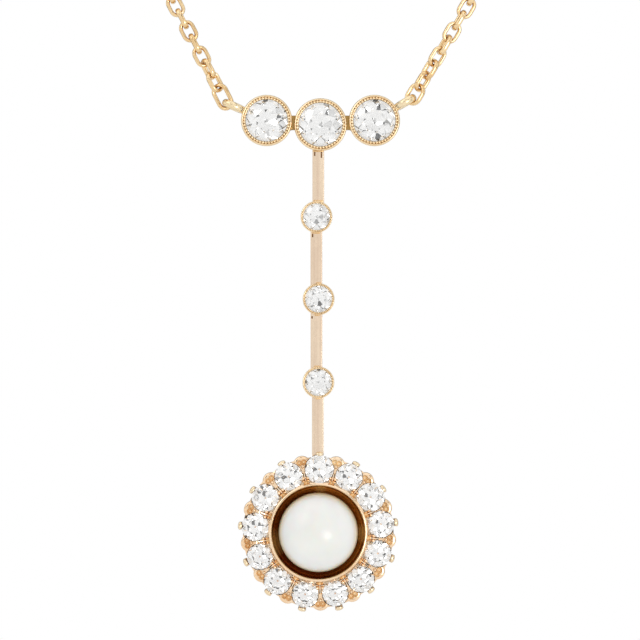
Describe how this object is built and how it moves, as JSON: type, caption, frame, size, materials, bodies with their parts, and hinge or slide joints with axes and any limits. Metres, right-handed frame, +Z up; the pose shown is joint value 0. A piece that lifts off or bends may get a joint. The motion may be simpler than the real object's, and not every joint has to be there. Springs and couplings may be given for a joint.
{
  "type": "drop necklace",
  "caption": "Fine link chain neck loop with a row of round stones, a slim bar drop with small stones and a pearl in a ring of stones.",
  "frame": {"origin": "middle of the neck loop's back, where the necklace lies on the nape", "axes": "+Z up, -Y to the front where the drop hangs, +X to the right of the picture"},
  "size_m": [0.1072, 0.0963, 0.1291],
  "materials": {
    "rose_gold": "polished",
    "yellow_gold": "polished",
    "diamond": "gloss",
    "pearl": "satin"
  },
  "bodies": {
    "root": {"gold_mount": "rose_gold", "stone_mid": "diamond", "stone_left": "diamond", "stone_right": "diamond", "stone_bar_1": "diamond", "stone_bar_2": "diamond", "stone_bar_3": "diamond", "stone_ring_1": "diamond", "stone_ring_2": "diamond", "stone_ring_3": "diamond", "stone_ring_4": "diamond", "stone_ring_5": "diamond", "stone_ring_6": "diamond", "stone_ring_7": "diamond", "stone_ring_8": "diamond", "stone_ring_9": "diamond", "stone_ring_10": "diamond", "stone_ring_11": "diamond", "stone_ring_12": "diamond", "stone_ring_13": "diamond", "pearl": "pearl", "chain_left": "yellow_gold", "chain_right": "yellow_gold", "chain_back_left": "yellow_gold", "chain_back_right": "yellow_gold", "clasp": "yellow_gold"}
  },
  "joints": []
}
